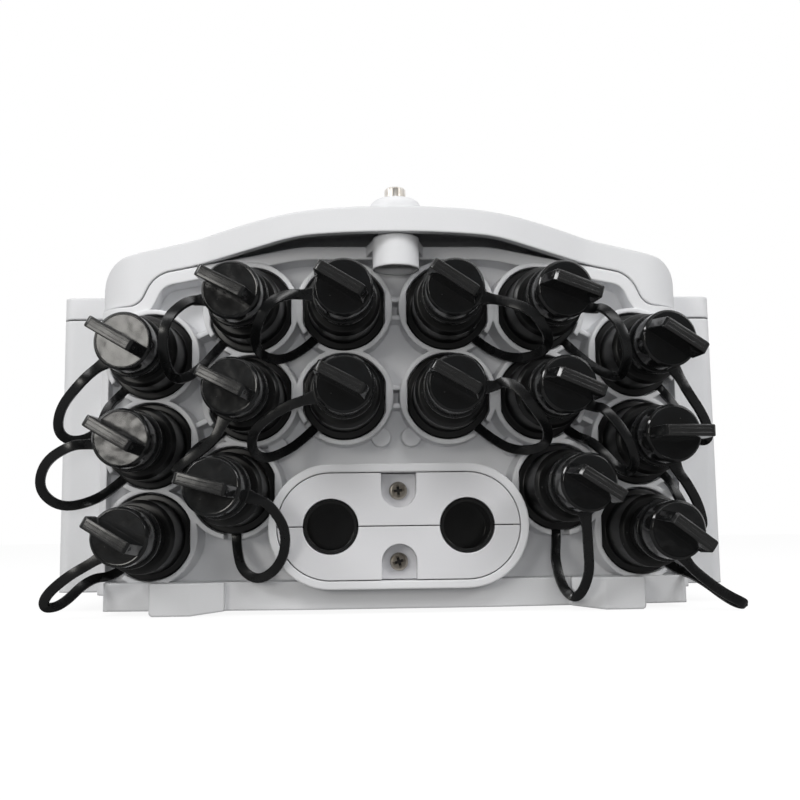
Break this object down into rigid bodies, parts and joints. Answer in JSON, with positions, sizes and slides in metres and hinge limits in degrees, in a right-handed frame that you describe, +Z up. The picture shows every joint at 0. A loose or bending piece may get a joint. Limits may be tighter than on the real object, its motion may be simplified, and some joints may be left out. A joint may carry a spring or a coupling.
{
  "type": "fibre termination box",
  "caption": "Plastic fibre termination box with a splayed face of capped hardened adapters on tethers, an oval cable gland, a hinged lid and mounting feet.",
  "frame": {"origin": "centre of the four mounting holes, at the soles of the feet", "axes": "+Z up through the lid, -Y out of the port face, +X to the right seen from the ports"},
  "size_m": [0.2286, 0.3297, 0.1348],
  "materials": {
    "housing_grey": "fine spark texture",
    "clamp_grey": "smooth satin",
    "cap_black": "semi-gloss",
    "adapter_black": "satin",
    "tether_rubber": "satin",
    "seal_rubber": "soft gloss",
    "plated_steel": "nickel plated",
    "insert_brass": "machined",
    "tray_plastic": "smooth"
  },
  "bodies": {
    "base": {"base_housing": "housing_grey", "lid_seal": "seal_rubber", "hinge_pins": "plated_steel", "lock_insert": "insert_brass", "gland_clamp_upper": "clamp_grey", "gland_clamp_lower": "clamp_grey", "gland_screws": "plated_steel", "gland_seal": "seal_rubber", "splice_tray": "tray_plastic", "adapter_nuts": "adapter_black", "adapter_a1": "adapter_black", "cap_tether_a1": "tether_rubber", "adapter_a2": "adapter_black", "cap_tether_a2": "tether_rubber", "adapter_a3": "adapter_black", "cap_tether_a3": "tether_rubber", "adapter_b1": "adapter_black", "cap_tether_b1": "tether_rubber", "adapter_b2": "adapter_black", "cap_tether_b2": "tether_rubber", "adapter_b3": "adapter_black", "cap_tether_b3": "tether_rubber", "adapter_c1": "adapter_black", "cap_tether_c1": "tether_rubber", "adapter_c2": "adapter_black", "cap_tether_c2": "tether_rubber", "adapter_d1": "adapter_black", "cap_tether_d1": "tether_rubber", "adapter_d2": "adapter_black", "cap_tether_d2": "tether_rubber", "adapter_e1": "adapter_black", "cap_tether_e1": "tether_rubber", "adapter_e2": "adapter_black", "cap_tether_e2": "tether_rubber", "adapter_e3": "adapter_black", "cap_tether_e3": "tether_rubber", "adapter_f1": "adapter_black", "cap_tether_f1": "tether_rubber", "adapter_f2": "adapter_black", "cap_tether_f2": "tether_rubber", "adapter_f3": "adapter_black", "cap_tether_f3": "tether_rubber"},
    "lid": {"lid": "housing_grey"},
    "lock_bolt": {"lock_bolt": "plated_steel"},
    "cap_a1": {"dust_cap_a1": "cap_black"},
    "cap_a2": {"dust_cap_a2": "cap_black"},
    "cap_a3": {"dust_cap_a3": "cap_black"},
    "cap_b1": {"dust_cap_b1": "cap_black"},
    "cap_b2": {"dust_cap_b2": "cap_black"},
    "cap_b3": {"dust_cap_b3": "cap_black"},
    "cap_c1": {"dust_cap_c1": "cap_black"},
    "cap_c2": {"dust_cap_c2": "cap_black"},
    "cap_d1": {"dust_cap_d1": "cap_black"},
    "cap_d2": {"dust_cap_d2": "cap_black"},
    "cap_e1": {"dust_cap_e1": "cap_black"},
    "cap_e2": {"dust_cap_e2": "cap_black"},
    "cap_e3": {"dust_cap_e3": "cap_black"},
    "cap_f1": {"dust_cap_f1": "cap_black"},
    "cap_f2": {"dust_cap_f2": "cap_black"},
    "cap_f3": {"dust_cap_f3": "cap_black"}
  },
  "joints": [
    {"name": "lid_hinge", "type": "hinge", "parent": "base", "child": "lid", "pos_m": [0, 0.1475, 0.1], "axis": [-1, 0, 0], "range_deg": [0, 110]},
    {"name": "lock_bolt_turn", "type": "hinge", "parent": "lid", "child": "lock_bolt", "pos_m": [0, -0.145, 0.1309], "axis": [0, 0, 1], "continuous": true},
    {"name": "cap_a1_turn", "type": "hinge", "parent": "base", "child": "cap_a1", "pos_m": [-0.0792, -0.13151, 0.0825], "axis": [-0.1132, -0.9936, 0], "range_deg": [0, 90]},
    {"name": "cap_a2_turn", "type": "hinge", "parent": "base", "child": "cap_a2", "pos_m": [-0.0792, -0.13151, 0.05345], "axis": [-0.1132, -0.9936, 0], "range_deg": [0, 90]},
    {"name": "cap_a3_turn", "type": "hinge", "parent": "base", "child": "cap_a3", "pos_m": [-0.0792, -0.13151, 0.0244], "axis": [-0.1132, -0.9936, 0], "range_deg": [0, 90]},
    {"name": "cap_b1_turn", "type": "hinge", "parent": "base", "child": "cap_b1", "pos_m": [-0.0469, -0.13519, 0.0972], "axis": [-0.1132, -0.9936, 0], "range_deg": [0, 90]},
    {"name": "cap_b2_turn", "type": "hinge", "parent": "base", "child": "cap_b2", "pos_m": [-0.0469, -0.13519, 0.06815], "axis": [-0.1132, -0.9936, 0], "range_deg": [0, 90]},
    {"name": "cap_b3_turn", "type": "hinge", "parent": "base", "child": "cap_b3", "pos_m": [-0.05225, -0.13458, 0.0388], "axis": [-0.1132, -0.9936, 0], "range_deg": [0, 90]},
    {"name": "cap_c1_turn", "type": "hinge", "parent": "base", "child": "cap_c1", "pos_m": [-0.01675, -0.137, 0.0975], "axis": [0, -1, 0], "range_deg": [0, 90]},
    {"name": "cap_c2_turn", "type": "hinge", "parent": "base", "child": "cap_c2", "pos_m": [-0.01675, -0.137, 0.06845], "axis": [0, -1, 0], "range_deg": [0, 90]},
    {"name": "cap_d1_turn", "type": "hinge", "parent": "base", "child": "cap_d1", "pos_m": [0.01675, -0.137, 0.0975], "axis": [0, -1, 0], "range_deg": [0, 90]},
    {"name": "cap_d2_turn", "type": "hinge", "parent": "base", "child": "cap_d2", "pos_m": [0.01675, -0.137, 0.06845], "axis": [0, -1, 0], "range_deg": [0, 90]},
    {"name": "cap_e1_turn", "type": "hinge", "parent": "base", "child": "cap_e1", "pos_m": [0.0469, -0.13519, 0.0972], "axis": [0.1132, -0.9936, 0], "range_deg": [0, 90]},
    {"name": "cap_e2_turn", "type": "hinge", "parent": "base", "child": "cap_e2", "pos_m": [0.0469, -0.13519, 0.06815], "axis": [0.1132, -0.9936, 0], "range_deg": [0, 90]},
    {"name": "cap_e3_turn", "type": "hinge", "parent": "base", "child": "cap_e3", "pos_m": [0.05225, -0.13458, 0.0388], "axis": [0.1132, -0.9936, 0], "range_deg": [0, 90]},
    {"name": "cap_f1_turn", "type": "hinge", "parent": "base", "child": "cap_f1", "pos_m": [0.0792, -0.13151, 0.0825], "axis": [0.1132, -0.9936, 0], "range_deg": [0, 90]},
    {"name": "cap_f2_turn", "type": "hinge", "parent": "base", "child": "cap_f2", "pos_m": [0.0792, -0.13151, 0.05345], "axis": [0.1132, -0.9936, 0], "range_deg": [-34, 56]},
    {"name": "cap_f3_turn", "type": "hinge", "parent": "base", "child": "cap_f3", "pos_m": [0.0792, -0.13151, 0.0244], "axis": [0.1132, -0.9936, 0], "range_deg": [0, 90]}
  ]
}
